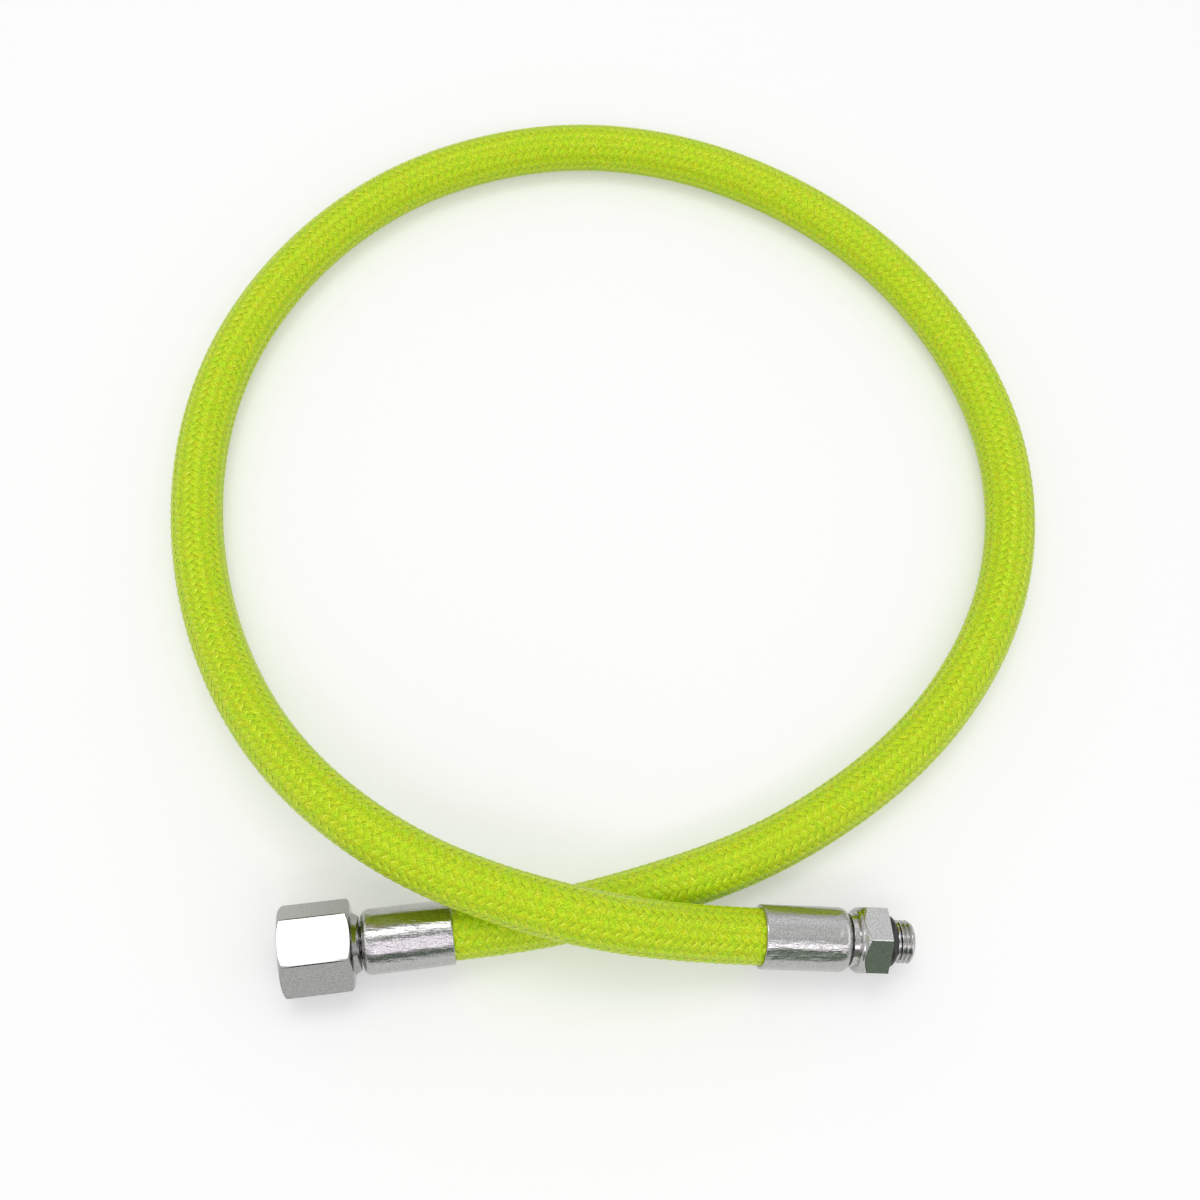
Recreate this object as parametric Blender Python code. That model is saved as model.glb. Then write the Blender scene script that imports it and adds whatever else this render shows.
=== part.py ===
"""Low-pressure regulator hose for diving: a braided hose with a crimped fitting on each end.

The hose lies on the floor (Z = 0) in one loop and crosses over itself in front. Its near end carries
a male 3/8-24 UNF stem with a hexagon and an O-ring. Its far end carries a 9/16-18 UNF swivel nut,
which turns freely on a flanged stem with a sealing spigot. Each stem has a barbed tail inside the
hose, and a ferrule is crimped over hose and tail. Metres, +Z up, origin on the floor in the middle.
"""

import math

import bmesh
import bpy
import numpy as np
from mathutils import Vector

# Clearance that pieces in contact keep from each other
CLEARANCE = 0.0003

# Hose
HOSE_DIAMETER = 0.0125
HOSE_SQUEEZE = 0.0005  # how far the crimp presses the hose wall in, on the radius
HOSE_POINT_SPACING = 0.025
HOSE_BEVEL_STEPS = 4

# Crimp ferrules
FERRULE_LENGTH = 0.0196
FERRULE_WALL = 0.0010
FERRULE_BASE_WALL = 0.0012
FERRULE_BASE_ROUNDING = 0.0013  # on the radius
FERRULE_BASE_RUN = 0.0019  # how long that rounding is along the axis
FERRULE_MOUTH_BEVEL = 0.0003
CRIMP_SEGMENTS = 8
CRIMP_DEPTH = 0.00025
CRIMP_MOUTH_BAND = 0.0009  # round band left at the ferrule's mouth
CRIMP_BASE_BAND = 0.0008
CRIMP_RUN_OUT = 0.0004

# Barbed tails, the same on both stems
TAIL_BARBS = 5
BARB_SLOPE_SHARE = 0.8  # of the pitch, and the flat crest takes most of the rest
BARB_CREST_SHARE = 0.15
TAIL_BARB_DIAMETER = 0.0068
TAIL_ROOT_DIAMETER = 0.0060
TAIL_PLAIN_PITCHES = 0.5  # plain length between the last barb and the shoulder
TAIL_INSET = 0.0015  # how far inside the ferrule's mouth the tail begins
TAIL_SHOULDER_DIAMETER = 0.0086
TAIL_SHOULDER_WIDTH = 0.0013
CRIMP_GROOVE_DIAMETER = 0.0070
STEM_BORE = 0.0040
BORE_CHAMFER = 0.0003

# Male stem, beyond the ferrule
MALE_GAP = 0.0004
MALE_NECK_DIAMETER = 0.0118
MALE_NECK_LENGTH = 0.0014
MALE_COLLAR_STEP = 0.0003  # how much smaller the collar is than the hexagon's flats
MALE_COLLAR_LENGTH = 0.0007
MALE_COLLAR_BEVEL = 0.0005
MALE_HEX_FLATS = 0.01429
MALE_HEX_LENGTH = 0.0061
MALE_HEX_REAR_CHAMFER = 0.0012  # along the axis, at the rear corners
MALE_HEX_FACE_DIAMETER = 0.0126
MALE_SEAT_RELIEF = 0.0001  # how deep the seat is cut back inside, round the O-ring
MALE_CHAMFER_ANGLE = math.radians(30)
MALE_HEX_TURN = math.radians(40.5)  # of one corner about the axis
MALE_THREAD_DIAMETER = 0.0095
MALE_THREAD_LENGTH = 0.0038
MALE_THREAD_CHAMFER = 0.0006

# Swivel nut
NUT_GAP = 0.0004
NUT_SKIRT_LENGTH = 0.0016
NUT_SKIRT_REAR_DIAMETER = 0.0120
NUT_SKIRT_FRONT_DIAMETER = 0.0136
NUT_HEX_FLATS = 0.01746
NUT_HEX_LENGTH = 0.0157
NUT_FACE_DIAMETER = 0.0146  # flat ring left inside the rounded corners, front and rear
NUT_CORNER_ROUNDING = 0.0016  # along the axis
NUT_THREAD_BORE = 0.01276
NUT_MOUTH_CHAMFER = 0.0007
NUT_REAR_WALL = 0.0045

# Flanged stem that carries the nut
SHAFT_DIAMETER = 0.0086
FLANGE_WIDTH = 0.0020
SPIGOT_DIAMETER = 0.0090
SPIGOT_LENGTH = 0.0056
SPIGOT_LIP = 0.0018
SPIGOT_CHAMFER = 0.0004

# O-rings: inner diameter and section
MALE_RING_INNER = 0.00765
SPIGOT_RING_INNER = 0.00607
RING_SECTION = 0.00178
RING_SIDES = 12

# How finely round shapes are built
TURNING_STEPS = 48
BORE_SIDES = 24
ROUNDING_STEPS = 4
WELD_DISTANCE = 0.00001
SHARP_ANGLE = math.radians(28)
CUTTER_MARGIN = 0.0015  # how far a cutter reaches past what it cuts

# Width of the hose's loop between centrelines. The route is drawn to scale and stretched to it.
LOOP_WIDTH = 0.2036

# Route of the hose from the swivel end's ferrule mouth to the male end's, in metres. The nut lies on
# one of its flats. From there the hose comes down to the floor, runs once round the loop and passes
# over itself in a long low hump, until the male hexagon's corner touches the floor.
ROUTE = [
    (-0.0353, -0.1054, NUT_HEX_FLATS / 2),
    (-0.0152, -0.1021, 0.0079),
    (0.0083, -0.0955, 0.0067),
    (0.0321, -0.0864, 0.0063),
    (0.0521, -0.0749, 0.0063),
    (0.0708, -0.0598, 0.0063),
    (0.0854, -0.0423, 0.0063),
    (0.0961, -0.0220, 0.0063),
    (0.1017, 0.0014, 0.0063),
    (0.1010, 0.0257, 0.0063),
    (0.0942, 0.0487, 0.0063),
    (0.0826, 0.0691, 0.0063),
    (0.0675, 0.0859, 0.0063),
    (0.0497, 0.0989, 0.0063),
    (0.0301, 0.1081, 0.0063),
    (0.0091, 0.1131, 0.0063),
    (-0.0127, 0.1133, 0.0063),
    (-0.0344, 0.1081, 0.0063),
    (-0.0548, 0.0980, 0.0063),
    (-0.0728, 0.0828, 0.0063),
    (-0.0872, 0.0636, 0.0063),
    (-0.0972, 0.0415, 0.0063),
    (-0.1019, 0.0177, 0.0063),
    (-0.1014, -0.0060, 0.0063),
    (-0.0964, -0.0286, 0.0073),
    (-0.0873, -0.0497, 0.0108),
    (-0.0749, -0.0679, 0.0156),
    (-0.0605, -0.0818, 0.0194),
    (-0.0440, -0.0923, 0.0208),
    (-0.0300, -0.0982, 0.0212),
    (-0.0150, -0.1025, 0.0208),
    (0.0010, -0.1052, 0.0185),
    (0.0165, -0.1058, 0.0137),
    (0.0320, -0.1058, 0.0105),
]

# Where each fitting's axis points, away from the hose: heading about Z, and dip below the horizon
SWIVEL_HEADING = math.radians(187.6)
SWIVEL_DIP = math.radians(0.0)
MALE_HEADING = math.radians(-0.25)
MALE_DIP = math.radians(5.0)

# Sizes that follow from the ones above
drawn_width = max(x for x, y, z in ROUTE) - min(x for x, y, z in ROUTE)
loop_scale = LOOP_WIDTH / drawn_width
route = [(x * loop_scale, y * loop_scale, z) for x, y, z in ROUTE]

hose_radius = HOSE_DIAMETER / 2
pressed_hose_radius = hose_radius - HOSE_SQUEEZE
ferrule_inner_radius = pressed_hose_radius + CLEARANCE
ferrule_radius = ferrule_inner_radius + FERRULE_WALL
groove_radius = CRIMP_GROOVE_DIAMETER / 2
ferrule_hole_radius = groove_radius + CLEARANCE
tail_bore_radius = TAIL_BARB_DIAMETER / 2 + CLEARANCE

# Stations along a fitting's axis, from the ferrule's mouth
base_inside = FERRULE_LENGTH - FERRULE_BASE_WALL
shoulder_end = base_inside - CLEARANCE
shoulder_start = shoulder_end - TAIL_SHOULDER_WIDTH
hose_end = shoulder_start - CLEARANCE

neck_start = FERRULE_LENGTH + MALE_GAP
collar_start = neck_start + MALE_NECK_LENGTH
hex_start = collar_start + MALE_COLLAR_LENGTH
hex_end = hex_start + MALE_HEX_LENGTH
male_groove_width = RING_SECTION + 2 * CLEARANCE
thread_start = hex_end + male_groove_width
thread_end = thread_start + MALE_THREAD_LENGTH

nut_start = FERRULE_LENGTH + NUT_GAP
nut_hex_start = nut_start + NUT_SKIRT_LENGTH
nut_end = nut_hex_start + NUT_HEX_LENGTH
nut_shoulder = nut_start + NUT_REAR_WALL
flange_start = nut_shoulder + CLEARANCE
flange_end = flange_start + FLANGE_WIDTH
spigot_end = flange_end + SPIGOT_LENGTH
spigot_groove_end = spigot_end - SPIGOT_LIP
spigot_groove_start = spigot_groove_end - male_groove_width


def new_material(name, colour, metallic, roughness):
    material = bpy.data.materials.new(name)
    material.use_nodes = True
    shader = material.node_tree.nodes["Principled BSDF"]
    shader.inputs["Base Color"].default_value = (*colour, 1)
    shader.inputs["Metallic"].default_value = metallic
    shader.inputs["Roughness"].default_value = roughness
    material.diffuse_color = (*colour, 1)
    return material


def braid():
    return new_material("lime_braid", (0.42, 0.66, 0.02), 0.0, 0.55)


def chrome(name):
    return new_material(name, (0.78, 0.79, 0.77), 1.0, 0.12)


def rubber(name):
    return new_material(name, (0.02, 0.02, 0.02), 0.0, 0.6)


def add_object(name, mesh, material, parent=None):
    obj = bpy.data.objects.new(name, mesh)
    bpy.context.scene.collection.objects.link(obj)
    obj.data.materials.append(material)
    obj.parent = parent
    return obj


def make_cutter(name, bm, parent):
    """A helper mesh for a Boolean, left out of the finished part."""
    mesh = bpy.data.meshes.new(name)
    bm.to_mesh(mesh)
    bm.free()
    obj = bpy.data.objects.new(name, mesh)
    bpy.context.scene.collection.objects.link(obj)
    obj.parent = parent
    obj.hide_render = True
    obj.display_type = "WIRE"
    return obj


def combine(obj, cutter, operation):
    boolean = obj.modifiers.new(operation.lower(), "BOOLEAN")
    boolean.operation = operation
    boolean.solver = "EXACT"
    boolean.object = cutter


def shade_round(mesh):
    mesh.shade_smooth()
    mesh.set_sharp_from_angle(angle=SHARP_ANGLE)


def spin_profile(profile, steps=TURNING_STEPS):
    """A closed outline of (station, radius) points, spun once about the X axis."""
    bm = bmesh.new()
    corners = [bm.verts.new((station, radius, 0)) for station, radius in profile]
    edges = [bm.edges.new((a, b)) for a, b in zip(corners, corners[1:] + corners[:1])]
    bmesh.ops.spin(
        bm,
        geom=corners + edges,
        cent=(0, 0, 0),
        axis=(1, 0, 0),
        angle=2 * math.pi,
        steps=steps,
        use_merge=True,
    )
    bmesh.ops.recalc_face_normals(bm, faces=bm.faces)
    return bm


def turned(name, profile, material, parent):
    bm = spin_profile(profile)
    mesh = bpy.data.meshes.new(name)
    bm.to_mesh(mesh)
    bm.free()
    shade_round(mesh)
    return add_object(name, mesh, material, parent)


def hexagon_cutter(name, flats, start, end, turn, parent):
    """A hexagonal bar along X with one corner at the angle turn from the Y axis."""
    bm = bmesh.new()
    corner = flats / math.sqrt(3)
    ring = []
    for k in range(6):
        angle = turn + math.radians(60 * k)
        ring.append(bm.verts.new((start, corner * math.cos(angle), corner * math.sin(angle))))
    face = bm.faces.new(ring)
    grown = bmesh.ops.extrude_face_region(bm, geom=[face])
    moved = [v for v in grown["geom"] if isinstance(v, bmesh.types.BMVert)]
    bmesh.ops.translate(bm, verts=moved, vec=(end - start, 0, 0))
    bmesh.ops.recalc_face_normals(bm, faces=bm.faces)
    return make_cutter(name, bm, parent)


def fitting_frame(name, mouth, heading, dip):
    """An empty at a ferrule's mouth, whose X axis is the fitting's axis."""
    frame = bpy.data.objects.new(name, None)
    bpy.context.scene.collection.objects.link(frame)
    frame.location = mouth
    frame.rotation_euler = (0, dip, heading)
    return frame


def axis_of(heading, dip):
    """The unit vector along a fitting's axis, away from the hose."""
    return Vector(
        (math.cos(heading) * math.cos(dip), math.sin(heading) * math.cos(dip), -math.sin(dip))
    )


def smooth_curve(points, start_direction, end_direction):
    """A cubic spline through the points with the given end directions, and its parameter range."""
    points = np.array(points)
    gaps = np.linalg.norm(np.diff(points, axis=0), axis=1)
    knots = np.concatenate([[0], np.cumsum(gaps)])
    count = len(points)
    matrix = np.eye(count)
    wanted = np.zeros((count, 3))
    wanted[0] = start_direction
    wanted[-1] = end_direction
    slopes = np.diff(points, axis=0) / gaps[:, None]
    for i in range(1, count - 1):
        before, after = gaps[i - 1], gaps[i]
        matrix[i, i - 1 : i + 2] = after, 2 * (before + after), before
        wanted[i] = 3 * (after * slopes[i - 1] + before * slopes[i])
    tangents = np.linalg.solve(matrix, wanted)

    def at(parameter):
        i = int(np.clip(np.searchsorted(knots, parameter) - 1, 0, count - 2))
        t = (parameter - knots[i]) / gaps[i]
        return (
            (1 + 2 * t) * (1 - t) ** 2 * points[i]
            + t * (1 - t) ** 2 * gaps[i] * tangents[i]
            + t**2 * (3 - 2 * t) * points[i + 1]
            - t**2 * (1 - t) * gaps[i] * tangents[i + 1]
        )

    return at, knots[-1]


def barbed_tail():
    """The outline of a stem's tail, from its tip to the crimp groove: saw-tooth barbs and a shoulder."""
    root = TAIL_ROOT_DIAMETER / 2
    crest = TAIL_BARB_DIAMETER / 2
    run = shoulder_start - TAIL_INSET
    pitch = run / (TAIL_BARBS + TAIL_PLAIN_PITCHES)
    outline = [(TAIL_INSET, STEM_BORE / 2 + BORE_CHAMFER)]
    for k in range(TAIL_BARBS):
        start = TAIL_INSET + k * pitch
        outline.append((start, root))
        outline.append((start + BARB_SLOPE_SHARE * pitch, crest))
        outline.append((start + (BARB_SLOPE_SHARE + BARB_CREST_SHARE) * pitch, crest))
    outline.append((TAIL_INSET + TAIL_BARBS * pitch, root))
    outline.append((shoulder_start, root))
    outline.append((shoulder_start, TAIL_SHOULDER_DIAMETER / 2))
    outline.append((shoulder_end, TAIL_SHOULDER_DIAMETER / 2))
    outline.append((shoulder_end, groove_radius))
    return outline


def stem_bore(tip):
    """The outline's way back along the bore, from the tip to the tail."""
    bore = STEM_BORE / 2
    return [
        (tip, bore + BORE_CHAMFER),
        (tip - BORE_CHAMFER, bore),
        (TAIL_INSET + BORE_CHAMFER, bore),
    ]


def make_hose(swivel_frame, male_frame):
    """The hose: a tube along the route, squeezed inside both ferrules, with a bore for each tail."""
    start_axis = -axis_of(SWIVEL_HEADING, SWIVEL_DIP)
    end_axis = axis_of(MALE_HEADING, MALE_DIP)
    at, length = smooth_curve(route, start_axis, end_axis)
    count = round(length / HOSE_POINT_SPACING)
    path = [(Vector(at(length * k / count)), 1.0) for k in range(count + 1)]
    pressed = pressed_hose_radius / hose_radius
    path[0] = (path[0][0] + CLEARANCE * start_axis, 1.0)
    path[-1] = (path[-1][0] - CLEARANCE * end_axis, 1.0)
    swivel_mouth = Vector(route[0])
    male_mouth = Vector(route[-1])
    path = (
        [(swivel_mouth - hose_end * start_axis, pressed), (swivel_mouth, pressed)]
        + path
        + [(male_mouth, pressed), (male_mouth + hose_end * end_axis, pressed)]
    )

    curve = bpy.data.curves.new("hose_route", "CURVE")
    curve.dimensions = "3D"
    curve.twist_mode = "Z_UP"
    curve.bevel_depth = hose_radius
    curve.bevel_resolution = HOSE_BEVEL_STEPS
    curve.use_fill_caps = True
    spline = curve.splines.new("POLY")
    spline.points.add(len(path) - 1)
    for point, (place, share) in zip(spline.points, path):
        point.co = (*place, 1)
        point.radius = share
    guide = bpy.data.objects.new("hose_route", curve)
    bpy.context.scene.collection.objects.link(guide)
    guide.hide_render = True
    guide.display_type = "WIRE"

    # The tube becomes a mesh so that the tails' bores can be cut into its ends
    bpy.context.view_layer.update()
    mesh = bpy.data.meshes.new_from_object(guide.evaluated_get(bpy.context.evaluated_depsgraph_get()))
    bm = bmesh.new()
    bm.from_mesh(mesh)
    bmesh.ops.remove_doubles(bm, verts=bm.verts, dist=WELD_DISTANCE)
    bmesh.ops.recalc_face_normals(bm, faces=bm.faces)
    bm.to_mesh(mesh)
    bm.free()
    mesh.materials.clear()
    shade_round(mesh)
    hose = add_object("hose", mesh, braid())
    for name, frame in (("swivel_tail_bore", swivel_frame), ("male_tail_bore", male_frame)):
        combine(hose, tail_bore_cutter(name, frame), "DIFFERENCE")
    return hose


def tail_bore_cutter(name, parent):
    bm = bmesh.new()
    bottom = TAIL_INSET - CLEARANCE
    top = hose_end + CUTTER_MARGIN
    ring = []
    for k in range(BORE_SIDES):
        angle = 2 * math.pi * k / BORE_SIDES
        ring.append(
            bm.verts.new(
                (bottom, tail_bore_radius * math.cos(angle), tail_bore_radius * math.sin(angle))
            )
        )
    face = bm.faces.new(ring)
    grown = bmesh.ops.extrude_face_region(bm, geom=[face])
    moved = [v for v in grown["geom"] if isinstance(v, bmesh.types.BMVert)]
    bmesh.ops.translate(bm, verts=moved, vec=(top - bottom, 0, 0))
    bmesh.ops.recalc_face_normals(bm, faces=bm.faces)
    return make_cutter(name, bm, parent)


def make_ferrule(name, parent):
    """A thin sleeve with an inward base wall, pressed into flats by the segments of a crimping die."""
    crimp_start = CRIMP_MOUTH_BAND
    crimp_end = FERRULE_LENGTH - FERRULE_BASE_RUN - CRIMP_BASE_BAND
    run_out = CRIMP_RUN_OUT
    corner = []
    for k in range(ROUNDING_STEPS + 1):
        angle = math.pi / 2 * k / ROUNDING_STEPS
        corner.append(
            (
                FERRULE_LENGTH - FERRULE_BASE_RUN * (1 - math.sin(angle)),
                ferrule_radius - FERRULE_BASE_ROUNDING * (1 - math.cos(angle)),
            )
        )
    outline = [
        (FERRULE_MOUTH_BEVEL, ferrule_inner_radius),
        (0, ferrule_inner_radius + FERRULE_MOUTH_BEVEL),
        (0, ferrule_radius - FERRULE_MOUTH_BEVEL),
        (FERRULE_MOUTH_BEVEL, ferrule_radius),
        (crimp_start - run_out, ferrule_radius),
        (crimp_start, ferrule_radius),
        (crimp_end, ferrule_radius),
        (crimp_end + run_out, ferrule_radius),
        *corner,
        (FERRULE_LENGTH, ferrule_hole_radius),
        (base_inside, ferrule_hole_radius),
        (base_inside, ferrule_inner_radius),
    ]
    ferrule = turned(name, outline, chrome(f"{name}_chrome"), parent)
    flat_distance = ferrule_radius - CRIMP_DEPTH
    slice_angle = 2 * math.pi / CRIMP_SEGMENTS
    middle = (crimp_start + crimp_end) / 2
    reach = (crimp_end - crimp_start) / 2 + run_out / 2
    for vertex in ferrule.data.vertices:
        radius = math.hypot(vertex.co.y, vertex.co.z)
        if radius < ferrule_radius - CRIMP_DEPTH / 2 or abs(vertex.co.x - middle) > reach:
            continue
        angle = math.atan2(vertex.co.z, vertex.co.y)
        from_flat = angle - slice_angle * round(angle / slice_angle)
        pressed = min(radius, flat_distance / math.cos(from_flat))
        vertex.co.y *= pressed / radius
        vertex.co.z *= pressed / radius
    shade_round(ferrule.data)
    return ferrule


def make_male_stem(parent):
    """Barbed tail, neck, collar, hexagon, O-ring groove and threaded end, turned in one piece."""
    neck = MALE_NECK_DIAMETER / 2
    collar = MALE_HEX_FLATS / 2 - MALE_COLLAR_STEP / 2
    beyond_corner = MALE_HEX_FLATS / math.sqrt(3) + CLEARANCE
    face = MALE_HEX_FACE_DIAMETER / 2
    chamfer_length = (beyond_corner - face) * math.tan(MALE_CHAMFER_ANGLE)
    ring_groove = MALE_RING_INNER / 2 - CLEARANCE
    beyond_ring = MALE_RING_INNER / 2 + RING_SECTION + CLEARANCE
    thread = MALE_THREAD_DIAMETER / 2
    outline = [
        *barbed_tail(),
        (neck_start, groove_radius),
        (neck_start, neck),
        (collar_start, neck),
        (collar_start, collar - MALE_COLLAR_BEVEL),
        (collar_start + MALE_COLLAR_BEVEL, collar),
        (hex_start, collar),
        (hex_start + MALE_HEX_REAR_CHAMFER, beyond_corner),
        (hex_end - chamfer_length, beyond_corner),
        (hex_end, face),
        (hex_end, beyond_ring),
        (hex_end - MALE_SEAT_RELIEF, beyond_ring),
        (hex_end - MALE_SEAT_RELIEF, ring_groove),
        (thread_start, ring_groove),
        (thread_start, thread - MALE_THREAD_CHAMFER),
        (thread_start + MALE_THREAD_CHAMFER / 2, thread),
        (thread_end - MALE_THREAD_CHAMFER, thread),
        (thread_end, thread - MALE_THREAD_CHAMFER),
        *stem_bore(thread_end),
    ]
    stem = turned("male_stem", outline, chrome("male_stem_chrome"), parent)
    bar = hexagon_cutter(
        "male_hexagon", MALE_HEX_FLATS, 0, thread_end + CUTTER_MARGIN, MALE_HEX_TURN, parent
    )
    combine(stem, bar, "INTERSECT")
    return stem


def make_swivel_stem(parent):
    """Barbed tail, shaft, flange that holds the nut, and a spigot with an O-ring groove."""
    shaft = SHAFT_DIAMETER / 2
    flange = NUT_THREAD_BORE / 2 - CLEARANCE
    spigot = SPIGOT_DIAMETER / 2
    ring_groove = SPIGOT_RING_INNER / 2 - CLEARANCE
    shaft_start = FERRULE_LENGTH + CLEARANCE
    outline = [
        *barbed_tail(),
        (shaft_start, groove_radius),
        (shaft_start, shaft),
        (flange_start, shaft),
        (flange_start, flange),
        (flange_end, flange),
        (flange_end, spigot),
        (spigot_groove_start, spigot),
        (spigot_groove_start, ring_groove),
        (spigot_groove_end, ring_groove),
        (spigot_groove_end, spigot),
        (spigot_end - SPIGOT_CHAMFER, spigot),
        (spigot_end, spigot - SPIGOT_CHAMFER),
        *stem_bore(spigot_end),
    ]
    return turned("swivel_stem", outline, chrome("swivel_stem_chrome"), parent)


def make_swivel_nut(parent):
    """A hexagonal nut with rounded ends, a coned skirt behind and a threaded mouth in front."""
    rear = NUT_SKIRT_REAR_DIAMETER / 2
    skirt = NUT_SKIRT_FRONT_DIAMETER / 2
    face = NUT_FACE_DIAMETER / 2
    beyond_corner = NUT_HEX_FLATS / math.sqrt(3) + CLEARANCE
    hole = SHAFT_DIAMETER / 2 + CLEARANCE
    bore = NUT_THREAD_BORE / 2
    rounding = []
    for k in range(ROUNDING_STEPS + 1):
        angle = math.pi / 2 * k / ROUNDING_STEPS
        rounding.append(
            (
                NUT_CORNER_ROUNDING * (1 - math.cos(angle)),
                face + (beyond_corner - face) * math.sin(angle),
            )
        )
    outline = [
        (nut_start, hole),
        (nut_start, rear),
        (nut_hex_start, skirt),
        *[(nut_hex_start + along, radius) for along, radius in rounding],
        *[(nut_end - along, radius) for along, radius in reversed(rounding)],
        (nut_end, bore + NUT_MOUTH_CHAMFER),
        (nut_end - NUT_MOUTH_CHAMFER, bore),
        (nut_shoulder, bore),
        (nut_shoulder, hole),
    ]
    nut = turned("swivel_nut", outline, chrome("swivel_nut_chrome"), parent)
    bar = hexagon_cutter(
        "nut_hexagon",
        NUT_HEX_FLATS,
        nut_start - CUTTER_MARGIN,
        nut_end + CUTTER_MARGIN,
        0,
        parent,
    )
    combine(nut, bar, "INTERSECT")
    return nut


def make_o_ring(name, inner, middle, parent):
    """A ring of round section about the axis, centred at the station middle."""
    section = RING_SECTION / 2
    outline = []
    for k in range(RING_SIDES):
        angle = 2 * math.pi * k / RING_SIDES
        outline.append(
            (middle + section * math.cos(angle), inner / 2 + section + section * math.sin(angle))
        )
    return turned(name, outline, rubber(f"{name}_rubber"), parent)


def main():
    for obj in list(bpy.data.objects):
        bpy.data.objects.remove(obj)
    swivel_end = fitting_frame("swivel_end", route[0], SWIVEL_HEADING, SWIVEL_DIP)
    male_end = fitting_frame("male_end", route[-1], MALE_HEADING, MALE_DIP)
    make_hose(swivel_end, male_end)
    make_ferrule("swivel_ferrule", swivel_end)
    make_ferrule("male_ferrule", male_end)
    make_male_stem(male_end)
    make_o_ring("male_o_ring", MALE_RING_INNER, (hex_end + thread_start) / 2, male_end)
    make_swivel_stem(swivel_end)
    make_o_ring(
        "spigot_o_ring",
        SPIGOT_RING_INNER,
        (spigot_groove_start + spigot_groove_end) / 2,
        swivel_end,
    )
    make_swivel_nut(swivel_end)


main()
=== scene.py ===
"""The regulator hose dressed for a picture: woven sleeve, plated fittings, seals and studio."""

import math
import bmesh
import bpy
import numpy as np
from mathutils import Matrix, Vector


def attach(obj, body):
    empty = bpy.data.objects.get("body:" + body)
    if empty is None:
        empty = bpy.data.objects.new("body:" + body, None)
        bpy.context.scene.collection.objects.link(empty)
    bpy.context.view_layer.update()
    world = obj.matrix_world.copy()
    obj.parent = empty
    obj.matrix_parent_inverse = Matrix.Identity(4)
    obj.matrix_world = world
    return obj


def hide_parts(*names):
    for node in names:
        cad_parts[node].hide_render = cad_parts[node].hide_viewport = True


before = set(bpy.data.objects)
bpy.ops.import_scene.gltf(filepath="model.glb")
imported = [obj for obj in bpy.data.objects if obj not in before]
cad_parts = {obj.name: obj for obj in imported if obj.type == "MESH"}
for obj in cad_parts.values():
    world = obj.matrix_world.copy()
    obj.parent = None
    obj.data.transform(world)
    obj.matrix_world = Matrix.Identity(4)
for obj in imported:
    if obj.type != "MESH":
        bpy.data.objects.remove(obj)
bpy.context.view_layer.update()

# Sizes of the part, as in its source, in metres. A station is a distance along a fitting's axis
# from its ferrule's mouth.
HOSE_DIAMETER = 0.0125
HOSE_END = 0.0165  # station where the hose ends inside a ferrule
HOSE_SQUEEZE = 0.0005  # how far a crimp presses the hose in, on the radius
SQUEEZE_RUN = 0.0022  # length in which it does
FERRULE_LENGTH = 0.0196
FERRULE_RADIUS = 0.00705
FERRULE_INNER_RADIUS = 0.00605
FERRULE_HOLE_RADIUS = 0.0038
FERRULE_BASE_INSIDE = 0.0184
FERRULE_BASE_RUN = 0.0019  # length of the rolled-in base
FERRULE_BASE_DROP = 0.0013  # how far it goes in, on the radius
FERRULE_LIP = 0.00025
CRIMP_MARKS = 8
CRIMP_DEPTH = 0.00011
BORE_RADIUS = 0.0020
BORE_CHAMFER = 0.0003
TAIL_START = 0.0015
TAIL_BARBS = 5
TAIL_ROOT_RADIUS = 0.0030
TAIL_CREST_RADIUS = 0.0034
SHOULDER_START, SHOULDER_END = 0.0168, 0.0181
SHOULDER_RADIUS = 0.0043
CRIMP_GROOVE_RADIUS = 0.0035
MALE_HEX_FLATS = 0.01429
MALE_HEX_TURN = math.radians(40.5)  # of one corner about the axis
MALE_CORNER_RADIUS = 0.00022
NUT_HEX_FLATS = 0.01746
NUT_CORNER_RADIUS = 0.00030
RING_RADIUS = 0.00089  # of an O-ring's section

# The hose's middle line between the ferrules' mouths, from the nut to the male stem
ROUTE = [
    (-0.0353, -0.1054, NUT_HEX_FLATS / 2),
    (-0.0152, -0.1021, 0.0079),
    (0.0083, -0.0955, 0.0067),
    (0.0321, -0.0864, 0.0063),
    (0.0521, -0.0749, 0.0063),
    (0.0708, -0.0598, 0.0063),
    (0.0854, -0.0423, 0.0063),
    (0.0961, -0.0220, 0.0063),
    (0.1017, 0.0014, 0.0063),
    (0.1010, 0.0257, 0.0063),
    (0.0942, 0.0487, 0.0063),
    (0.0826, 0.0691, 0.0063),
    (0.0675, 0.0859, 0.0063),
    (0.0497, 0.0989, 0.0063),
    (0.0301, 0.1081, 0.0063),
    (0.0091, 0.1131, 0.0063),
    (-0.0127, 0.1133, 0.0063),
    (-0.0344, 0.1081, 0.0063),
    (-0.0548, 0.0980, 0.0063),
    (-0.0728, 0.0828, 0.0063),
    (-0.0872, 0.0636, 0.0063),
    (-0.0972, 0.0415, 0.0063),
    (-0.1019, 0.0177, 0.0063),
    (-0.1014, -0.0060, 0.0063),
    (-0.0964, -0.0286, 0.0073),
    (-0.0873, -0.0497, 0.0108),
    (-0.0749, -0.0679, 0.0156),
    (-0.0605, -0.0818, 0.0194),
    (-0.0440, -0.0923, 0.0208),
    (-0.0300, -0.0982, 0.0212),
    (-0.0150, -0.1025, 0.0208),
    (0.0010, -0.1052, 0.0185),
    (0.0165, -0.1058, 0.0137),
    (0.0320, -0.1058, 0.0105),
]
SWIVEL_HEADING = math.radians(187.6)
SWIVEL_DIP = math.radians(0.0)
MALE_HEADING = math.radians(-0.25)
MALE_DIP = math.radians(5.0)

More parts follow.
